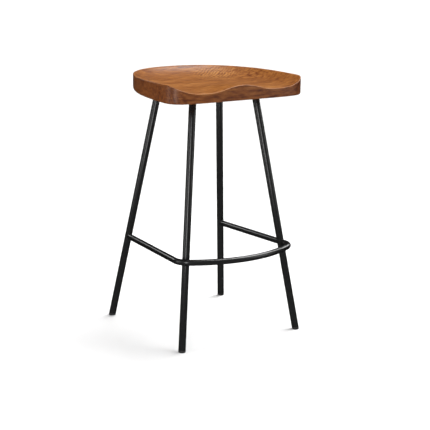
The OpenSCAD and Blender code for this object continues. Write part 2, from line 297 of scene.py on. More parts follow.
def lacquered_wood():
    """Open-grained hardwood, stained brown and sprayed with satin lacquer: long straight figure
    along the seat, late wood lines that bend where the carving cuts them, curly figure behind the
    pommel, mottling, and short dark pores."""
    material, tree, shader, place = new_material("stained_lacquered_hardwood")
    feed(tree, shader, {"IOR": 1.45, "Specular IOR Level": 0.35})

    # The log's heart runs along the seat, 120 mm under its top and a little behind its middle
    in_log = add(tree, "ShaderNodeMapping", {
        "Vector": place, "Location": (0.0, -0.05, -0.56), "Rotation": (0, 0.012, 0.05)})
    # Rings wander slowly, over 250 mm along and 60 mm across
    stretched = add(tree, "ShaderNodeMapping", {"Vector": in_log, "Scale": (4, 16, 16)})
    wander = add(tree, "ShaderNodeTexNoise", {"Vector": stretched, "Scale": 1.0, "Detail": 2.0})
    centred = add(tree, "ShaderNodeVectorMath", [wander.outputs["Color"], (0.5, 0.5, 0.5)],
                  {"operation": "SUBTRACT"})
    pushed = add(tree, "ShaderNodeVectorMath", {0: centred, "Scale": 0.03}, {"operation": "SCALE"})
    in_log = add(tree, "ShaderNodeVectorMath", [in_log, pushed], {"operation": "ADD"})
    flat = add(tree, "ShaderNodeVectorMath", [in_log, (0.0, 1.0, 1.0)], {"operation": "MULTIPLY"})
    radius = add(tree, "ShaderNodeVectorMath", [flat], {"operation": "LENGTH"}).outputs["Value"]
    # A ring every 5 mm: wider than the real 2 to 3 mm, so that the figure shows
    ring_number = add(tree, "ShaderNodeMath", [radius, 1 / (5 * MM)], {"operation": "MULTIPLY"})
    in_ring = add(tree, "ShaderNodeMath", [ring_number], {"operation": "FRACT"})
    ring = add(tree, "ShaderNodeValToRGB", [in_ring])
    grade(ring, (
        (0.0, "#a0a0a0"), (0.2, "#e4e4e4"), (0.6, "#d0d0d0"), (0.88, "#4a4a4a"), (1.0, "#a0a0a0")))

    # Curly figure: waves 8 mm apart, kinked every 26 mm, running 33 degrees off the seat's length,
    # within 85 mm of their middle
    from_curl = add(tree, "ShaderNodeVectorMath", [place, (0.085, 0.1, 0.66)],
                    {"operation": "DISTANCE"})
    near_curl = add(tree, "ShaderNodeMapRange", [from_curl.outputs["Value"], 0.085, 0.02, 0.0, 1.0],
                    {"interpolation_type": "SMOOTHSTEP"})
    kink = add(tree, "ShaderNodeTexNoise", {"Vector": place, "Scale": 38.0, "Detail": 2.0})
    across = add(tree, "ShaderNodeVectorMath", [place, (-0.54, 0.84, 0.0)],
                 {"operation": "DOT_PRODUCT"})
    across = add(tree, "ShaderNodeMath", [kink.outputs["Fac"], 0.02, across.outputs["Value"]],
                 {"operation": "MULTIPLY_ADD"})
    wave = add(tree, "ShaderNodeMath", [across, FULL_TURN / (8 * MM)], {"operation": "MULTIPLY"})
    wave = add(tree, "ShaderNodeMath", [wave], {"operation": "SINE"})
    wave = add(tree, "ShaderNodeMath", [wave, near_curl], {"operation": "MULTIPLY"})

    # Fibres: streaks 60 mm long and 1.6 mm across; broad ones 160 mm long and 9 mm across
    along = add(tree, "ShaderNodeMapping", {"Vector": in_log, "Scale": (17, 620, 620)})
    fibre = add(tree, "ShaderNodeTexNoise", {
        "Vector": along, "Scale": 1.0, "Detail": 4.0, "Roughness": 0.6})
    broad = add(tree, "ShaderNodeMapping", {"Vector": in_log, "Scale": (6, 110, 110)})
    streak = add(tree, "ShaderNodeTexNoise", {
        "Vector": broad, "Scale": 1.0, "Detail": 3.0, "Roughness": 0.6})
    # Mottling: flecks 25 mm along the seat and 5 mm across it, as rays show where they are cut
    flecks = add(tree, "ShaderNodeMapping", {"Vector": in_log, "Scale": (40, 200, 200)})
    mottle = add(tree, "ShaderNodeTexNoise", {
        "Vector": flecks, "Scale": 1.0, "Detail": 3.0, "Roughness": 0.65})
    # Pores: dark dashes 12 mm long and 1 mm across, coarser than the real 0.3 mm ones
    dashes = add(tree, "ShaderNodeMapping", {"Vector": in_log, "Scale": (80, 900, 900)})
    pore_noise = add(tree, "ShaderNodeTexNoise", {
        "Vector": dashes, "Scale": 1.0, "Detail": 1.0, "Roughness": 0.4})
    pore = add(tree, "ShaderNodeMapRange", [pore_noise.outputs["Fac"], 0.6, 0.72, 0.0, 1.0])
    # Stain takes unevenly in patches about 90 mm across
    patches = add(tree, "ShaderNodeTexNoise", {
        "Vector": place, "Scale": 11.0, "Detail": 2.0, "Roughness": 0.45})

    # How light the wood is, around one half: each part counts from its middle, by its share
    light = add(tree, "ShaderNodeMath", [wave, 0.26, 0.5], {"operation": "MULTIPLY_ADD"})
    for part, middle, share in (
            (ring, 0.62, 0.2), (fibre.outputs["Fac"], 0.5, 0.5), (streak.outputs["Fac"], 0.5, 0.6),
            (mottle.outputs["Fac"], 0.5, 0.9), (patches.outputs["Fac"], 0.5, 0.4)):
        part = add(tree, "ShaderNodeMath", [part, middle], {"operation": "SUBTRACT"})
        light = add(tree, "ShaderNodeMath", [part, share, light], {"operation": "MULTIPLY_ADD"})
    stain = add(tree, "ShaderNodeValToRGB", [light])
    grade(stain, ((0.22, "#602d0d"), (0.42, "#8a511f"), (0.58, "#a2662e"), (0.8, "#bb8348")))

    # Painted shade darkens and warms the sides, where less light falls than on the top; the rim is
    # rubbed lighter and carries a painted highlight; pores stay dark
    colour = stain
    # Painted shade: "side" is 1 below the rim's round-over, where the sides are darkened and warmed
    side = add(tree, "ShaderNodeAttribute", settings={"attribute_name": "side"}).outputs["Fac"]
    # The rim's row is painted lighter: partly rubbed wear, partly a painted highlight where the
    # round-over catches light
    rim = add(tree, "ShaderNodeAttribute", settings={"attribute_name": "rim"}).outputs["Fac"]
    rim = add(tree, "ShaderNodeMath", [rim, 0.35], {"operation": "MULTIPLY"})
    pored = add(tree, "ShaderNodeMath", [pore, 0.4], {"operation": "MULTIPLY"})
    for share, blend, tone in (
            (side, "MULTIPLY", "#b0a096"), (rim, "MIX", "#b87a42"), (pored, "MULTIPLY", "#6b4426")):
        mix = add(tree, "ShaderNodeMix", {"Factor": share, "A": colour, "B": paint(tone)},
                  {"data_type": "RGBA", "blend_type": blend})
        colour = mix.outputs["Result"]

    rough = add(tree, "ShaderNodeMapRange", [fibre.outputs["Fac"], 0.3, 0.7, 0.32, 0.42])
    relief = add(tree, "ShaderNodeMath", [pore, -0.6, fibre.outputs["Fac"]],
                 {"operation": "MULTIPLY_ADD"})
    bump = add(tree, "ShaderNodeBump", {"Strength": 0.12, "Distance": 0.0006, "Height": relief})
    feed(tree, shader, {"Base Color": colour, "Roughness": rough, "Normal": bump})
    return material


def powder_coat(name, roughness, peel):
    """Steel under black semi-gloss powder paint, which dries with a faint orange peel."""
    material, tree, shader, place = new_material(name)
    feed(tree, shader, {"IOR": 1.5})
    # Orange peel about 1.2 mm across, with a slower 8 mm swell
    fine = add(tree, "ShaderNodeTexNoise", {"Vector": place, "Scale": 800.0, "Detail": 2.0})
    swell = add(tree, "ShaderNodeTexNoise", {"Vector": place, "Scale": 120.0, "Detail": 1.0})
    height = add(tree, "ShaderNodeMath", [swell.outputs["Fac"], 1.5, fine.outputs["Fac"]],
                 {"operation": "MULTIPLY_ADD"})
    bump = add(tree, "ShaderNodeBump", {"Strength": peel, "Distance": 0.0002, "Height": height})
    shade = add(tree, "ShaderNodeValToRGB", [swell.outputs["Fac"]])
    grade(shade, ((0.3, "#0c0c0c"), (0.7, "#131313")))
    rough = add(tree, "ShaderNodeMapRange", [
        fine.outputs["Fac"], 0.3, 0.7, roughness - 0.03, roughness + 0.04])
    feed(tree, shader, {"Base Color": shade, "Roughness": rough, "Normal": bump})
    return material


def moulded_plastic():
    """Black polyethylene, moulded: matt with a fine spark-eroded grain and scuffs at the floor."""
    material, tree, shader, place = new_material("black_moulded_polyethylene")
    feed(tree, shader, {"IOR": 1.5})
    # Mould grain about 0.8 mm across, and scuffs of 2.4 mm in the lowest 1.6 mm
    grain = add(tree, "ShaderNodeTexNoise", {"Vector": place, "Scale": 1250.0, "Detail": 3.0})
    bump = add(tree, "ShaderNodeBump", {
        "Strength": 0.25, "Distance": 0.0002, "Height": grain.outputs["Fac"]})
    height = add(tree, "ShaderNodeSeparateXYZ", [place]).outputs["Z"]
    worn = add(tree, "ShaderNodeMapRange", [height, 0.0, 0.0016, 1.0, 0.0])
    scuffs = add(tree, "ShaderNodeTexNoise", {"Vector": place, "Scale": 420.0, "Detail": 2.0})
    scuff = add(tree, "ShaderNodeMath", [worn, scuffs.outputs["Fac"]], {"operation": "MULTIPLY"})
    shade = add(tree, "ShaderNodeValToRGB", [scuff])
    grade(shade, ((0.2, "#191919"), (0.8, "#3a3938")))
    rough = add(tree, "ShaderNodeMapRange", [grain.outputs["Fac"], 0.3, 0.7, 0.5, 0.62])
    feed(tree, shader, {"Base Color": shade, "Roughness": rough, "Normal": bump})
    return material


def plated(name, dark, light, roughness, grain_mm):
    """Plated or plain metal, bright with a fine grain: crystals in plating, tool marks in brass."""
    material, tree, shader, place = new_material(name)
    feed(tree, shader, {"Metallic": 1.0})
    grain = add(tree, "ShaderNodeTexNoise", {
        "Vector": place, "Scale": 1 / (grain_mm * MM), "Detail": 3.0, "Roughness": 0.6})
    shade = add(tree, "ShaderNodeValToRGB", [grain.outputs["Fac"]])
    grade(shade, ((0.3, dark), (0.7, light)))
    rough = add(tree, "ShaderNodeMapRange", [
        grain.outputs["Fac"], 0.3, 0.7, roughness - 0.06, roughness + 0.08])
    bump = add(tree, "ShaderNodeBump", {
        "Strength": 0.08, "Distance": 0.0001, "Height": grain.outputs["Fac"]})
    feed(tree, shader, {"Base Color": shade, "Roughness": rough, "Normal": bump})
    return material


WOOD = lacquered_wood()
TUBE_COAT = powder_coat("semi_gloss_black_powder_coat", 0.24, 0.1)
WELD_COAT = powder_coat("black_powder_coat_over_weld", 0.36, 0.3)
PLASTIC = moulded_plastic()
ZINC = plated("bright_zinc_plated_steel", "#a9adb2", "#c9cdd2", 0.32, 0.7)
BRASS = plated("turned_brass", "#a98a48", "#c7a862", 0.28, 0.5)


# ---- seat ----

def seat_tree():
    """The saddle: a grid wrapped round the seat, from the middle of the underside, out, up the
    round-over and the side, over the rim, and in across the carved top to its middle."""
    tree, known = new_tree("saddle_seat", {
        "Half width": "Float", "Front length": "Float", "Back length": "Float",
        "Front squareness": "Float", "Back squareness": "Float",
        "Rim height": "Float", "Scoop height": "Float", "Pommel height": "Float",
        "Pommel half width": "Float", "Pommel length": "Float",
        "Pommel fade": "Float", "Dish flat": "Float", "Dish full": "Float", "Dish power": "Float",
        "Edge radius": "Float",
        "Front under height": "Float", "Front under inset": "Float",
        "Back under height": "Float", "Back under inset": "Float",
        "Middle": "Vector", "Material": "Material"})
    around = 540
    stages = {"bottom": 12, "under": 12, "side": 8, "round": 6, "top": 60}
    rows = sum(stages.values())
    grid = add(tree, "GeometryNodeMeshGrid", [1.0, 1.0, around + 1, rows + 1])
    place = add(tree, "ShaderNodeSeparateXYZ", [add(tree, "GeometryNodeInputPosition")])
    known["across grid"], known["up grid"] = place.outputs["X"], place.outputs["Y"]

    def work_out(*steps):
        """Adds sums in order: each gives a name, what to do, and the names or numbers it takes."""
        for name, operation, *terms in steps:
            known[name] = add(tree, "ShaderNodeMath", [known.get(t, t) for t in terms],
                              {"operation": operation})

    work_out(
        ("angle", "MULTIPLY_ADD", "across grid", FULL_TURN, HALF_TURN),
        ("row", "MULTIPLY_ADD", "up grid", float(rows), rows / 2),
        ("cos", "COSINE", "angle"), ("sin", "SINE", "angle"),
        ("is back", "GREATER_THAN", "sin", 0.0))
    # Each stage's own share, from 0 where it starts to 1 where it ends
    first = 0
    for name, count in stages.items():
        known[name] = add(tree, "ShaderNodeMapRange", [
            known["row"], float(first), float(first + count), 0.0, 1.0])
        first += count
    # The underside's round-over grows from the front corners to the back ones
    for name, front, back in (
            ("under height", "Front under height", "Back under height"),
            ("under inset", "Front under inset", "Back under inset")):
        known[name] = add(tree, "ShaderNodeMapRange", [
            known["sin"], -0.5, 0.47, known[front], known[back]], {"interpolation_type": "SMOOTHSTEP"})
    for name, front, back in (
            ("reach", "Front length", "Back length"),
            ("square", "Front squareness", "Back squareness")):
        known[name] = add(tree, "ShaderNodeMapRange", [
            known["is back"], 0.0, 1.0, known[front], known[back]])
    work_out(
        # The plan's edge, in this direction from the widest line's middle
        ("edge x", "ABSOLUTE", "cos"), ("edge x", "DIVIDE", "edge x", "Half width"),
        ("edge x", "POWER", "edge x", "square"),
        ("edge y", "ABSOLUTE", "sin"), ("edge y", "DIVIDE", "edge y", "reach"),
        ("edge y", "POWER", "edge y", "square"),
        ("edge", "ADD", "edge x", "edge y"), ("root", "DIVIDE", -1.0, "square"),
        ("edge", "POWER", "edge", "root"),
        # How far out this row is
        ("under angle", "MULTIPLY", "under", QUARTER_TURN),
        ("round angle", "MULTIPLY", "round", QUARTER_TURN),
        ("under sin", "SINE", "under angle"), ("under cos", "COSINE", "under angle"),
        ("round sin", "SINE", "round angle"), ("round cos", "COSINE", "round angle"),
        ("flat edge", "SUBTRACT", "edge", "under inset"), ("out", "MULTIPLY", "bottom", "flat edge"),
        ("out", "MULTIPLY_ADD", "under inset", "under sin", "out"),
        ("rounded in", "SUBTRACT", "round cos", 1.0),
        ("out", "MULTIPLY_ADD", "rounded in", "Edge radius", "out"),
        ("top edge", "SUBTRACT", "edge", "Edge radius"), ("inward", "MULTIPLY", "top", "top edge"),
        ("out", "SUBTRACT", "out", "inward"),
        ("x", "MULTIPLY", "out", "cos"), ("y", "MULTIPLY", "out", "sin"),
        # The dish
        ("wide", "ABSOLUTE", "x"), ("rho x", "DIVIDE", "wide", "Half width"),
        ("rho x", "POWER", "rho x", "Back squareness"),
        ("rho y", "MAXIMUM", "y", 0.0), ("rho y", "DIVIDE", "rho y", "Back length"),
        ("rho y", "POWER", "rho y", "Back squareness"),
        ("rho", "ADD", "rho x", "rho y"), ("root", "DIVIDE", 1.0, "Back squareness"),
        ("rho", "POWER", "rho", "root"))
    known["rise"] = add(tree, "ShaderNodeMapRange", [
        known["rho"], known["Dish flat"], known["Dish full"], 0.0, 1.0])
    work_out(
        ("rise", "POWER", "rise", "Dish power"),
        # The pommel
        ("swell", "DIVIDE", "wide", "Pommel half width"), ("swell", "MINIMUM", "swell", 1.0),
        ("swell", "MULTIPLY", "swell", HALF_TURN), ("swell", "COSINE", "swell"),
        ("swell", "MULTIPLY_ADD", "swell", 0.5, 0.5),
        ("fade", "ADD", "y", "Front length"), ("fade", "DIVIDE", "fade", "Pommel length"),
        ("fade", "MAXIMUM", "fade", 0.0), ("fade", "MINIMUM", "fade", 1.0),
        ("fade", "MULTIPLY", "fade", QUARTER_TURN), ("fade", "COSINE", "fade"),
        ("fade", "MAXIMUM", "fade", 0.0), ("fade", "POWER", "fade", "Pommel fade"),
        ("pommel", "MULTIPLY", "swell", "fade"),
        # The carved height, then this row's height
        ("dish depth", "SUBTRACT", "Rim height", "Scoop height"),
        ("pommel rise", "SUBTRACT", "Pommel height", "Scoop height"),
        ("carved", "MULTIPLY_ADD", "rise", "dish depth", "Scoop height"),
        ("carved", "MULTIPLY_ADD", "pommel", "pommel rise", "carved"),
        ("rounded down", "SUBTRACT", "round sin", 1.0),
        ("carved", "MULTIPLY_ADD", "rounded down", "Edge radius", "carved"),
        ("z", "SUBTRACT", 1.0, "under cos"), ("z", "MULTIPLY", "z", "under height"),
        ("z gap", "SUBTRACT", "carved", "z"), ("z", "MULTIPLY_ADD", "side", "z gap", "z"),
        # Masks for the painted side shade, below the rim's round-over, and for the rim's wear and
        # painted highlight, one row of the top wide
        ("side shade share", "SUBTRACT", 1.0, "round"),
        ("rim wear and highlight share", "MULTIPLY", "top", float(stages["top"])),
        ("rim wear and highlight share", "MINIMUM", "rim wear and highlight share", 1.0), ("rim wear and highlight share", "SUBTRACT", "round", "rim wear and highlight share"))
    spot = add(tree, "ShaderNodeCombineXYZ", [known["x"], known["y"], known["z"]])
    spot = add(tree, "ShaderNodeVectorMath", [spot, known["Middle"]], {"operation": "ADD"})
    shape = grid
    # Stored for the wood: the painted side shade, and the rim's wear and painted highlight
    for name, share in (("side", "side shade share"), ("rim", "rim wear and highlight share")):
        shape = add(tree, "GeometryNodeStoreNamedAttribute", {
            "Geometry": shape, "Name": name, "Value": known[share]},
            {"data_type": "FLOAT", "domain": "POINT"})
    shape = add(tree, "GeometryNodeSetPosition", {"Geometry": shape, "Position": spot})
    shape = add(tree, "GeometryNodeMergeByDistance", {"Geometry": shape, "Distance": 1e-6})
    end_tree(tree, shape, known)
    return tree


seat = grown("saddle_seat", seat_tree(), {
    "Half width": SEAT_W / 2 * MM, "Front length": (SEAT_FRONT - SEAT_WIDE_Y) * MM,
    "Back length": (SEAT_BACK + SEAT_WIDE_Y) * MM,
    "Front squareness": FRONT_SQUARENESS, "Back squareness": BACK_SQUARENESS,
    "Rim height": RIM_T * MM, "Scoop height": SCOOP_T * MM, "Pommel height": POMMEL_T * MM,
    "Pommel half width": POMMEL_HALF_W * MM, "Pommel length": POMMEL_LEN * MM,
    "Pommel fade": POMMEL_FADE, "Dish flat": DISH_FLAT, "Dish full": DISH_FULL,
    "Dish power": DISH_POWER, "Edge radius": SEAT_EDGE_R * MM,
    "Front under height": UNDER_FRONT_H * MM, "Front under inset": UNDER_FRONT_IN * MM,
    "Back under height": UNDER_BACK_H * MM, "Back under inset": UNDER_BACK_IN * MM,
    "Middle": placed(0, -SEAT_WIDE_Y, SEAT_Z), "Material": WOOD})
kept(seat, "seat")


# ---- legs and plugs ----

def level_turned_tree(name, rows, closed):
    """A turned shape on a leaning axis, cut level: rows give a radius and a height as a named size
    and how many edge radii to add to it."""
    tree, known = new_tree(name, {
        "Foot": "Vector", "Top": "Vector", "Outer radius": "Float", "Inner radius": "Float",
        "Low": "Float", "High": "Float", "End": "Float", "Edge": "Float", "Material": "Material"})
    around = 64
    table = rows + rows[:1] if closed else rows
    grid = add(tree, "GeometryNodeMeshGrid", [1.0, 1.0, around + 1, len(table)])
    place = add(tree, "ShaderNodeSeparateXYZ", [add(tree, "GeometryNodeInputPosition")])
    turn = add(tree, "ShaderNodeMath", [place.outputs["X"], FULL_TURN], {"operation": "MULTIPLY"})
    last = len(table) - 1
    row = add(tree, "ShaderNodeMath", [place.outputs["Y"], float(last), last / 2 + 0.5],
              {"operation": "MULTIPLY_ADD"})
    row = add(tree, "ShaderNodeMath", [row], {"operation": "FLOOR"})
    row = add(tree, "FunctionNodeFloatToInt", [row])
    picked = []
    for column in (0, 2):
        picker = add(tree, "GeometryNodeIndexSwitch", settings={"data_type": "FLOAT"})
        while len(picker.index_switch_items) < len(table):
            picker.index_switch_items.new()
        feed(tree, picker, [row])
        for number, entry in enumerate(table):
            size = add(tree, "ShaderNodeMath", [
                known["Edge"], float(entry[column + 1]), known.get(entry[column], 0.0)],
                {"operation": "MULTIPLY_ADD"})
            feed(tree, picker, {number + 1: size})
        picked.append(picker.outputs[0])
    radius, height = picked
    axis = add(tree, "ShaderNodeVectorMath", [known["Top"], known["Foot"]], {"operation": "SUBTRACT"})
    axis = add(tree, "ShaderNodeVectorMath", [axis], {"operation": "NORMALIZE"})
    aside = add(tree, "ShaderNodeVectorMath", [axis, (1.0, 0.0, 0.0)], {"operation": "CROSS_PRODUCT"})
    aside = add(tree, "ShaderNodeVectorMath", [aside], {"operation": "NORMALIZE"})
    across = add(tree, "ShaderNodeVectorMath", [axis, aside], {"operation": "CROSS_PRODUCT"})
    cos = add(tree, "ShaderNodeMath", [turn], {"operation": "COSINE"})
    sin = add(tree, "ShaderNodeMath", [turn], {"operation": "SINE"})
    one = add(tree, "ShaderNodeVectorMath", {0: aside, "Scale": cos}, {"operation": "SCALE"})
    two = add(tree, "ShaderNodeVectorMath", {0: across, "Scale": sin}, {"operation": "SCALE"})
    out = add(tree, "ShaderNodeVectorMath", [one, two], {"operation": "ADD"})
    out = add(tree, "ShaderNodeVectorMath", {0: out, "Scale": radius}, {"operation": "SCALE"})
    out = add(tree, "ShaderNodeVectorMath", [out, known["Foot"]], {"operation": "ADD"})
    # Slide along the axis to this row's height
    out_z = add(tree, "ShaderNodeSeparateXYZ", [out]).outputs["Z"]
    axis_z = add(tree, "ShaderNodeSeparateXYZ", [axis]).outputs["Z"]
    slide = add(tree, "ShaderNodeMath", [height, out_z], {"operation": "SUBTRACT"})
    slide = add(tree, "ShaderNodeMath", [slide, axis_z], {"operation": "DIVIDE"})
    spot = add(tree, "ShaderNodeVectorMath", {0: axis, "Scale": slide}, {"operation": "SCALE"})
    spot = add(tree, "ShaderNodeVectorMath", [spot, out], {"operation": "ADD"})
    shape = add(tree, "GeometryNodeSetPosition", {"Geometry": grid, "Position": spot})
    shape = add(tree, "GeometryNodeMergeByDistance", {"Geometry": shape, "Distance": 1e-6})
    end_tree(tree, shape, known)
    return tree


# Each row: a radius, edge radii added to it, a height, edge radii added to it. A plug's head is as
# wide as the tube, its shank fills the bore, and both its ends close on the axis.
TUBE_ROWS = [
    ("Outer radius", 0, "Low", 1), ("Outer radius", 0, "High", -1),
    ("Outer radius", -0.3, "High", -0.3), ("Outer radius", -1, "High", 0),
    ("Inner radius", 0, "High", 0), ("Inner radius", 0, "Low", 0),
    ("Outer radius", -1, "Low", 0), ("Outer radius", -0.3, "Low", 0.3)]
PLUG_ROWS = [
    ("", 0, "Low", 0), ("Outer radius", -1, "Low", 0), ("Outer radius", -0.6, "Low", 0.08),
    ("Outer radius", -0.3, "Low", 0.3), ("Outer radius", -0.08, "Low", 0.6),
    ("Outer radius", 0, "Low", 1), ("Outer radius", 0, "High", -0.2),
    ("Outer radius", -0.2, "High", 0), ("Inner radius", 0, "High", 0),
    ("Inner radius", 0, "End", -1), ("Inner radius", -1, "End", 0), ("", 0, "End", 0)]
tube_tree = level_turned_tree("level_cut_tube", TUBE_ROWS, True)
plug_tree = level_turned_tree("foot_plug", PLUG_ROWS, False)
CORNERS = [("front_left", -1, -1), ("front_right", 1, -1), ("rear_left", -1, 1), ("rear_right", 1, 1)]

for corner, sx, sy in CORNERS:
    ends = {"Foot": placed(sx * FOOT_X, sy * FOOT_Y, 0),
            "Top": placed(sx * TOP_X, sy * TOP_Y, FRAME_Z)}
    leg = grown("leg_tube_" + corner, tube_tree, {
        **ends, "Outer radius": LEG_R * MM, "Inner radius": (LEG_R - LEG_WALL) * MM,
        "Low": PLUG_H * MM, "High": FRAME_Z * MM, "Edge": TUBE_EDGE * MM, "Material": TUBE_COAT})
    kept(leg, "leg_" + corner)
    plug = grown("plug_" + corner, plug_tree, {
        **ends, "Outer radius": LEG_R * MM, "Inner radius": (LEG_R - LEG_WALL - PLUG_FIT) * MM,
        "Low": 0.0, "High": PLUG_H * MM, "End": (PLUG_H + PLUG_DEPTH) * MM,
        "Edge": PLUG_EDGE * MM, "Material": PLASTIC})
    kept(plug, "foot_plug_" + corner)


# ---- footrest ----

# The line's steps, and where it starts, in leg radii from the leg's middle
RAIL_STEPS, BEND_STEPS, BOW_STEPS = 10, 24, 40
RAIL_START = 1.6


def rest_line():
    """The footrest's centre line, from the left rear leg round the front to the right one, with
    the middle of its right bend and the way of its right rail."""
    touch = (LEG_R + REST_R + WELD_GAP) / math.cos(TILT)
    bend_in = BEND_R - touch
    bend = Vector((REST_LEG_X - bend_in * math.cos(TOUCH_ANGLE),
                   -REST_LEG_Y + bend_in * math.sin(TOUCH_ANGLE)))
    ahead = bend.y + BOW_FRONT
    bow_r = (bend.x ** 2 + ahead ** 2 - BEND_R ** 2) / (2 * (ahead - BEND_R))
    bow = Vector((0, bow_r - BOW_FRONT))
    leg = Vector((REST_LEG_X, REST_LEG_Y))
    to_bend = bend - leg
    rail_length = math.sqrt(to_bend.length ** 2 - BEND_R ** 2)
    rail_dir = math.atan2(to_bend.y, to_bend.x) + math.asin(BEND_R / to_bend.length)
    bow_dir = math.atan2(bend.y - bow.y, bend.x)
    way = Vector((math.cos(rail_dir), math.sin(rail_dir)))
    start = LEG_R * RAIL_START
    half = [leg + way * (start + (rail_length - start) * k / RAIL_STEPS) for k in range(RAIL_STEPS)]
    for k in range(BEND_STEPS + 1):
        a = rail_dir + QUARTER_TURN + (bow_dir - rail_dir - QUARTER_TURN) * k / BEND_STEPS
        half.append(bend + BEND_R * Vector((math.cos(a), math.sin(a))))
    for k in range(1, BOW_STEPS + 1):
        a = bow_dir + (-QUARTER_TURN - bow_dir) * k / BOW_STEPS
        half.append(bow + bow_r * Vector((math.cos(a), math.sin(a))))
    right = [(p.x, p.y, REST_Z) for p in half]
    return [(-x, y, z) for x, y, z in right[:-1]] + right[::-1], bend, way


REST_LINE, BEND_MIDDLE, RAIL_WAY = rest_line()


def bent_tube_tree():
    """A tube along its centre line. Each end's ring is cast on to the leg it is welded to."""
    tree, known = new_tree("bent_tube", {
        "Tube radius": "Float", "Sides": "Int", "Left leg": "Object", "Right leg": "Object",
        "Material": "Material"}, takes_geometry=True)
    factor = add(tree, "GeometryNodeSplineParameter").outputs["Factor"]
    tangent = add(tree, "GeometryNodeInputTangent")
    ends = {}
    for side, operation, end in (("Left", "LESS_THAN", 0.0001), ("Right", "GREATER_THAN", 0.9999)):
        ends[side] = add(tree, "FunctionNodeCompare", {"A": factor, "B": end},
                         {"data_type": "FLOAT", "operation": operation})
    lines = known["Geometry"]
    for name, value, kind in (
            ("at left", ends["Left"], "BOOLEAN"), ("at right", ends["Right"], "BOOLEAN"),
            ("way", tangent, "FLOAT_VECTOR")):
        lines = add(tree, "GeometryNodeStoreNamedAttribute", {
            "Geometry": lines, "Name": name, "Value": value}, {"data_type": kind, "domain": "POINT"})
    ring = add(tree, "GeometryNodeCurvePrimitiveCircle", {
        "Resolution": known["Sides"], "Radius": known["Tube radius"]})
    tube = add(tree, "GeometryNodeCurveToMesh", {
        "Curve": lines, "Profile Curve": ring, "Fill Caps": True})
    way = add(tree, "GeometryNodeInputNamedAttribute", {"Name": "way"}, {"data_type": "FLOAT_VECTOR"})
    for side, sign in (("Left", -1.0), ("Right", 1.0)):
        leg = add(tree, "GeometryNodeObjectInfo", {"Object": known[side + " leg"]})
        aim = add(tree, "ShaderNodeVectorMath", {0: way, "Scale": sign}, {"operation": "SCALE"})
        cast = add(tree, "GeometryNodeRaycast", {
            "Target Geometry": leg.outputs["Geometry"], "Ray Direction": aim, "Ray Length": 50 * MM})
        chosen = add(tree, "GeometryNodeInputNamedAttribute", {"Name": "at " + side.lower()},
                     {"data_type": "BOOLEAN"})
        tube = add(tree, "GeometryNodeSetPosition", {
            "Geometry": tube, "Selection": chosen, "Position": cast.outputs["Hit Position"]})
    for name in ("at left", "at right", "way"):
        tube = add(tree, "GeometryNodeRemoveAttribute", {"Geometry": tube, "Name": name})
    end_tree(tree, tube, known)
    return tree


footrest = grown("bent_footrest", bent_tube_tree(), {
    "Tube radius": REST_R * MM, "Sides": 40,
    "Left leg": bpy.data.objects["leg_tube_rear_left"],
    "Right leg": bpy.data.objects["leg_tube_rear_right"],
    "Material": TUBE_COAT}, centre_line([REST_LINE]))
kept(footrest, "footrest")


# ---- welds ----

def weld_tree():
    """A weld bead along its line, rippled where each puddle froze on the one before."""
    tree, known = new_tree("weld_bead", {
        "Bead radius": "Float", "Sides": "Int", "Ripple pitch": "Float", "Ripple depth": "Float",
        "Material": "Material"}, takes_geometry=True)
    # Six steps to a ripple
    step = add(tree, "ShaderNodeMath", [known["Ripple pitch"], 0.16], {"operation": "MULTIPLY"})
    fine = add(tree, "GeometryNodeResampleCurve", {"Curve": known["Geometry"], "Length": step},
               {"mode": "LENGTH"})
    length = add(tree, "GeometryNodeSplineParameter").outputs["Length"]
    phase = add(tree, "ShaderNodeMath", [length, known["Ripple pitch"]], {"operation": "DIVIDE"})
    phase = add(tree, "ShaderNodeMath", [phase], {"operation": "FRACT"})
    drop = add(tree, "ShaderNodeMath", [phase, 2.0], {"operation": "POWER"})
    drop = add(tree, "ShaderNodeMath", [drop, known["Ripple depth"]], {"operation": "MULTIPLY"})
    size = add(tree, "ShaderNodeMath", [1.0, drop], {"operation": "SUBTRACT"})
    fine = add(tree, "GeometryNodeSetCurveRadius", {"Curve": fine, "Radius": size})
    ring = add(tree, "GeometryNodeCurvePrimitiveCircle", {
        "Resolution": known["Sides"], "Radius": known["Bead radius"]})
    bead = add(tree, "GeometryNodeCurveToMesh", {
        "Curve": fine, "Profile Curve": ring, "Fill Caps": True})
    end_tree(tree, bead, known)
    return tree


def leg_axis(sx, sy):
    """A leg's foot, in millimetres from the legs' middle, and the way it goes."""
    foot = Vector((sx * FOOT_X, sy * FOOT_Y, 0))
    return foot, (Vector((sx * TOP_X, sy * TOP_Y, FRAME_Z)) - foot).normalized()


def off_leg(point, sx, sy):
    """From the leg's axis straight to the point."""
    foot, way = leg_axis(sx, sy)
    return (point - foot) - way * (point - foot).dot(way)


def off_rest(point, sx):
    """From the footrest's centre line straight to the point, near the leg on that side."""
    flat = Vector((abs(point.x) if sx > 0 else -point.x, point.y, 0))
    best = None
    half = [Vector((x, y, 0)) for x, y, z in REST_LINE if x >= 0]
    for a, b in zip(half, half[1:]):
        share = min(max((flat - a).dot(b - a) / (b - a).length_squared, 0), 1)
        near = a.lerp(b, share)
        if best is None or (flat - near).length < (flat - best).length:
            best = near
    return Vector((sx * (flat.x - best.x), flat.y - best.y, point.z - REST_Z))


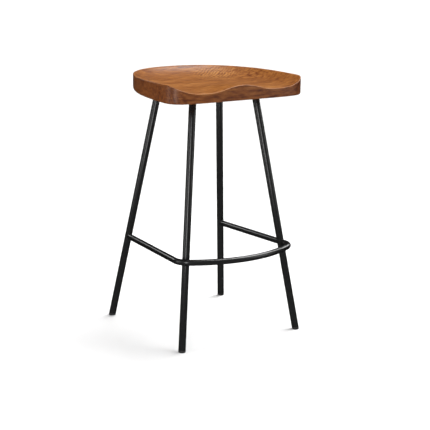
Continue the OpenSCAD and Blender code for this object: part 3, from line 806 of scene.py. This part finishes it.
def touch_loop(sx, sy, middle, off, count=48, start=6, tries=60, pull=0.7):
    """A closed line round a joint, at one distance off both the leg and the footrest. Each point
    starts a little way out from the joint's middle, and is pulled to both in turn until it
    settles."""
    out = off_leg(middle, sx, sy).normalized()
    aside = out.cross(Vector((0, 0, 1))).normalized()
    up = aside.cross(out)
    loop = []
    for k in range(count):
        a = FULL_TURN * k / count
        point = middle + (aside * math.cos(a) + up * math.sin(a)) * start
        for _ in range(tries):
            gap = off_leg(point, sx, sy)
            point -= gap.normalized() * (gap.length - LEG_R - off) * pull
            gap = off_rest(point, sx)
            point -= gap.normalized() * (gap.length - REST_R - off) * pull
        loop.append(tuple(point))
    return loop


def leg_top_ring(sx, sy, count=64):
    """A closed line round a leg, just under the bars."""
    foot, way = leg_axis(sx, sy)
    aside = way.cross(Vector((1, 0, 0))).normalized()
    across = way.cross(aside)
    ring = []
    for k in range(count):
        a = FULL_TURN * k / count
        point = foot + (aside * math.cos(a) + across * math.sin(a)) * (LEG_R + FRAME_BEAD_OFF)
        point += way * ((FRAME_Z - FRAME_BEAD_OFF - point.z) / way.z)
        ring.append(tuple(point))
    return ring


weld_bead = weld_tree()
BLACK_BEAD = {"Sides": 14, "Ripple depth": RIPPLE_DEPTH, "Material": WELD_COAT}
FRAME_BEAD = {**BLACK_BEAD, "Bead radius": FRAME_BEAD_R * MM, "Ripple pitch": FRAME_RIPPLE * MM}
REST_BEAD = {**BLACK_BEAD, "Bead radius": REST_BEAD_R * MM, "Ripple pitch": REST_RIPPLE * MM}

for corner, sx, sy in CORNERS:
    ring = centre_line([leg_top_ring(sx, sy)], closed=True)
    bead = grown("top_weld_" + corner, weld_bead, FRAME_BEAD, ring)
    kept(bead, "leg_weld_" + corner)

for corner, sx, sy in CORNERS:
    foot, way = leg_axis(sx, sy)
    at_leg = foot + way * (REST_Z / way.z)
    if sy > 0:
        toward = Vector((sx * RAIL_WAY.x, RAIL_WAY.y, 0))
    else:
        toward = Vector((at_leg.x - sx * BEND_MIDDLE.x, at_leg.y - BEND_MIDDLE.y, 0)).normalized()
    middle = at_leg + toward * (LEG_R + REST_LOOP_START)
    loop = centre_line([touch_loop(sx, sy, middle, REST_BEAD_OFF)], closed=True)
    bead = grown("footrest_weld_" + corner, weld_bead, REST_BEAD, loop)
    kept(bead, "rest_weld_" + corner)

uprights = []
for sx, sy in ((-1, -1), (-1, 1), (1, -1), (1, 1)):
    inner = (sx * (TOP_X - BAR_W / 2 - FRAME_BEAD_OFF), sy * (TOP_Y - BAR_W / 2 - FRAME_BEAD_OFF))
    uprights.append([(*inner, FRAME_Z + FRAME_BEAD_SHORT), (*inner, SEAT_Z - FRAME_BEAD_SHORT)])
corner_welds = grown("frame_inner_welds", weld_bead, FRAME_BEAD, centre_line(uprights))
kept(corner_welds, "frame_corner_welds")


# ---- frame bars ----

def eased_copy(node, name, ease, material):
    """A CAD bar with its faces made whole again and its edges eased, as rolled flat bar has."""
    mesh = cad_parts[node].data.copy()
    mesh.name = name
    work = bmesh.new()
    work.from_mesh(mesh)
    bmesh.ops.remove_doubles(work, verts=work.verts, dist=1e-6)
    bmesh.ops.dissolve_limit(work, angle_limit=math.radians(1), verts=work.verts, edges=work.edges)
    sharp = [e for e in work.edges
             if len(e.link_faces) == 2 and e.calc_face_angle() > math.radians(40)]
    bmesh.ops.bevel(work, geom=sharp, offset=ease, segments=2, profile=0.5, affect="EDGES",
                    clamp_overlap=True)
    for face in work.faces:
        face.smooth = False
    work.to_mesh(mesh)
    work.free()
    mesh.materials.clear()
    mesh.materials.append(material)
    piece = bpy.data.objects.new(name, mesh)
    bpy.context.scene.collection.objects.link(piece)
    return piece


for side in ("front", "rear", "left", "right"):
    bar = eased_copy(f"frame_{side}_bar", f"flat_bar_{side}", BAR_EDGE * MM, TUBE_COAT)
    kept(bar, f"frame_{side}_bar")


# ---- fasteners ----

# Half the angle of one side of a hexagon
HALF_FLAT = math.pi / 6


def turned(name, rows, closed, around=48):
    """A small turned part standing on its own origin. A row is a radius and a height in
    millimetres, and where the ring is a hexagon, how much of one it is."""
    work = bmesh.new()
    rings = []
    for radius, height, *six in rows:
        ring = []
        for k in range(around):
            a = FULL_TURN * k / around
            flat = radius * math.cos(HALF_FLAT) / math.cos(a % (2 * HALF_FLAT) - HALF_FLAT)
            r = radius + (flat - radius) * (six[0] if six else 0)
            ring.append(work.verts.new((r * math.cos(a) * MM, r * math.sin(a) * MM, height * MM)))
        rings.append(ring)
    for low, high in zip(rings, rings[1:] + (rings[:1] if closed else [])):
        for k in range(around):
            work.faces.new((low[k], low[(k + 1) % around], high[(k + 1) % around], high[k]))
    if not closed:
        work.faces.new(rings[0][::-1])
        work.faces.new(rings[-1])
    bmesh.ops.recalc_face_normals(work, faces=work.faces)
    mesh = bpy.data.meshes.new(name)
    work.to_mesh(mesh)
    work.free()
    part = bpy.data.objects.new(name, mesh)
    bpy.context.scene.collection.objects.link(part)
    return part


def set_on_points_tree():
    """One fastener set on each point of the start mesh, with its faces as sharp as cut."""
    tree, known = new_tree("set_on_frame", {"Fastener": "Object", "Material": "Material"},
                           takes_geometry=True)
    part = add(tree, "GeometryNodeObjectInfo", {"Object": known["Fastener"]})
    spots = add(tree, "GeometryNodeInstanceOnPoints", {
        "Points": known["Geometry"], "Instance": part.outputs["Geometry"]})
    end_tree(tree, spots, known, smooth=False)
    return tree


def screw_rows(crown_steps=8):
    """Button head, its shank, and the thread's ridges. The hexagon socket is a little over half the
    head deep, with a coned floor and a chamfered lip."""
    corner = SOCKET_AF / 2 / math.cos(HALF_FLAT)
    crown = corner + 0.8
    rows = [(corner * 0.3, -HEAD_H * 0.42, 1), (corner, -HEAD_H * 0.48, 1),
            (corner, -HEAD_H + 0.25, 1), (corner + 0.3, -HEAD_H, 0.3)]
    for k in range(crown_steps + 1):
        a = QUARTER_TURN * k / crown_steps
        rows.append((crown + (HEAD_R - crown) * math.sin(a),
                     -HEAD_EDGE - (HEAD_H - HEAD_EDGE) * math.cos(a)))
    rows += [(HEAD_R, 0), (SCREW_R, 0)]
    z = THREAD_START
    while z < THREAD_END:
        rows += [(SCREW_R, z), (SCREW_R - THREAD_DEPTH, z + THREAD_PITCH / 2)]
        z += THREAD_PITCH
    rows += [(SCREW_R - THREAD_DEPTH, SCREW_END)]
    return rows


def washer_rows():
    """A flat washer with its outer edges eased."""
    inner_r = WASHER_R - WASHER_EDGE
    return [(WASHER_R, WASHER_EDGE), (WASHER_R, WASHER_T - WASHER_EDGE), (inner_r, WASHER_T),
            (WASHER_HOLE_R, WASHER_T), (WASHER_HOLE_R, 0), (inner_r, 0)]


def insert_rows():
    """A brass insert: chamfered ends, three grooves between its bands, and a plain bore."""
    end_r = INSERT_R - INSERT_EDGE
    rows = [(INSERT_R, INSERT_EDGE)]
    for low, middle, high in ((3, 3.4, 4), (6.5, 7, 7.5), (10, 10.5, 11)):
        rows += [(INSERT_R, low), (INSERT_R - INSERT_GROOVE, middle), (INSERT_R, high)]
    return rows + [(end_r, INSERT_L), (INSERT_BORE_R, INSERT_L), (INSERT_BORE_R, 0), (end_r, 0)]


# Node, piece, material, slot, height, rows, and whether the rows close into a ring
FASTENERS = [
    ("seat_screws", "button_head_screws", ZINC, "zinc_steel", FRAME_Z - WASHER_T, screw_rows(), False),
    ("seat_washers", "plain_washers", ZINC, "zinc_steel", FRAME_Z - WASHER_T, washer_rows(), True),
    ("seat_inserts", "threaded_inserts", BRASS, "brass", SEAT_Z, insert_rows(), True),
]
HOLES = [(sx * TOP_X, sy * SIDE_HOLE_Y) for sx in (-1, 1) for sy in (-1, 1)]
HOLES += [(sx * CROSS_HOLE_X, sy * TOP_Y) for sx in (-1, 1) for sy in (-1, 1)]
fastener_tree = set_on_points_tree()
for node, name, material, slot, height, rows, closed in FASTENERS:
    part = turned(name + "_one", rows, closed)
    spots = bpy.data.meshes.new(name + "_spots")
    spots.from_pydata([placed(x, y, height) for x, y in HOLES], [], [])
    piece = grown(name, fastener_tree, {"Fastener": part, "Material": material}, spots)
    bpy.data.objects.remove(part)
    kept(piece, node)


# ---- studio ----

# In metres: half the floor, and where the soft overhead light comes from
FLOOR_REACH = 60
SUN_SPOT = (1.4, 0.2, 2.55)
SUN_STRENGTH = 4.1
SUN_SPREAD = math.radians(46)
# How bright the room is as a light, and in reflections behind and in front
ROOM_LIGHT, ROOM_BEHIND, ROOM_IN_FRONT = 0.27, 0.02, 0.22
# Each lamp: its name, its place, width and height in metres, and its power in watts
PANELS = [
    ("left_panel", (-2.0, 0.1, 1.0), 1.1, 2.0, 4),
    ("left_strip", (-2.0, 0.25, 1.0), 0.2, 2.0, 6),
    ("front_strip", (-1.75, -1.8, 1.0), 0.5, 1.8, 26),
    ("right_panel", (1.9, -1.7, 1.1), 1.0, 1.7, 9),
    ("high_right_softbox", (2.3, 0.3, 1.3), 0.7, 0.7, 12),
    ("high_back_softbox", (-0.9, 2.0, 1.5), 0.9, 0.6, 11),
]


def pale_floor():
    """Matt pale paper out to the horizon, kept out of reflections."""
    work = bmesh.new()
    bmesh.ops.create_grid(work, x_segments=1, y_segments=1, size=FLOOR_REACH)
    mesh = bpy.data.meshes.new("studio_floor")
    work.to_mesh(mesh)
    work.free()
    floor = bpy.data.objects.new("studio_floor", mesh)
    bpy.context.scene.collection.objects.link(floor)
    material = bpy.data.materials.new("pale_studio_paper")
    material.use_nodes = True
    feed(material.node_tree, material.node_tree.nodes["Principled BSDF"], {
        "Base Color": paint("#e8e8e8"), "Roughness": 0.9, "Specular IOR Level": 0.1})
    mesh.materials.append(material)
    floor.visible_glossy = False


def white_room():
    """A white backdrop, weaker as a light. Reflections see a grey room in front and a dark one
    behind, so that black tubes keep dark edges."""
    world = bpy.data.worlds.new("studio_world")
    world.use_nodes = True
    tree = world.node_tree
    background = tree.nodes["Background"]
    ray = add(tree, "ShaderNodeLightPath").outputs
    lit = add(tree, "ShaderNodeMapRange", [ray["Is Camera Ray"], 0.0, 1.0, ROOM_LIGHT, 1.0])
    aimed = add(tree, "ShaderNodeTexCoord").outputs["Generated"]
    ahead = add(tree, "ShaderNodeVectorMath", [aimed, (-0.56, -0.83, 0.0)],
                {"operation": "DOT_PRODUCT"})
    mirrored = add(tree, "ShaderNodeMapRange", [
        ahead.outputs["Value"], -0.4, 0.4, ROOM_BEHIND, ROOM_IN_FRONT])
    level = add(tree, "ShaderNodeMix", {"Factor": ray["Is Glossy Ray"], "A": lit, "B": mirrored})
    feed(tree, background, {"Color": paint("#ffffff"), "Strength": level.outputs["Result"]})
    bpy.context.scene.world = world


def lamps():
    """A broad soft light from high on the right, a panel and a strip on the left, a strip in front,
    a panel on the right, and two high softboxes. Each panel aims inwards and a little down."""
    sun = bpy.data.lights.new("overhead_soft_light", "SUN")
    sun.energy = SUN_STRENGTH
    sun.angle = SUN_SPREAD
    hang("overhead_soft_light", sun, Vector(SUN_SPOT), Vector((0, 0, 0)))
    for name, spot, width, height, power in PANELS:
        panel = bpy.data.lights.new(name, "AREA")
        panel.shape = "RECTANGLE"
        panel.size = width
        panel.size_y = height
        panel.energy = power
        hang(name, panel, Vector(spot), Vector((0, 0, spot[2] * 0.6)))


def hang(name, light, spot, aim):
    """Puts a lamp at a spot, aimed at a point, out of the camera's sight."""
    lamp = bpy.data.objects.new(name, light)
    lamp.visible_camera = False
    bpy.context.scene.collection.objects.link(lamp)
    turn = (aim - spot).to_track_quat("-Z", "Y").to_matrix().to_4x4()
    lamp.matrix_world = Matrix.Translation(spot) @ turn


pale_floor()
white_room()
lamps()
bpy.context.scene.view_settings.view_transform = "Standard"
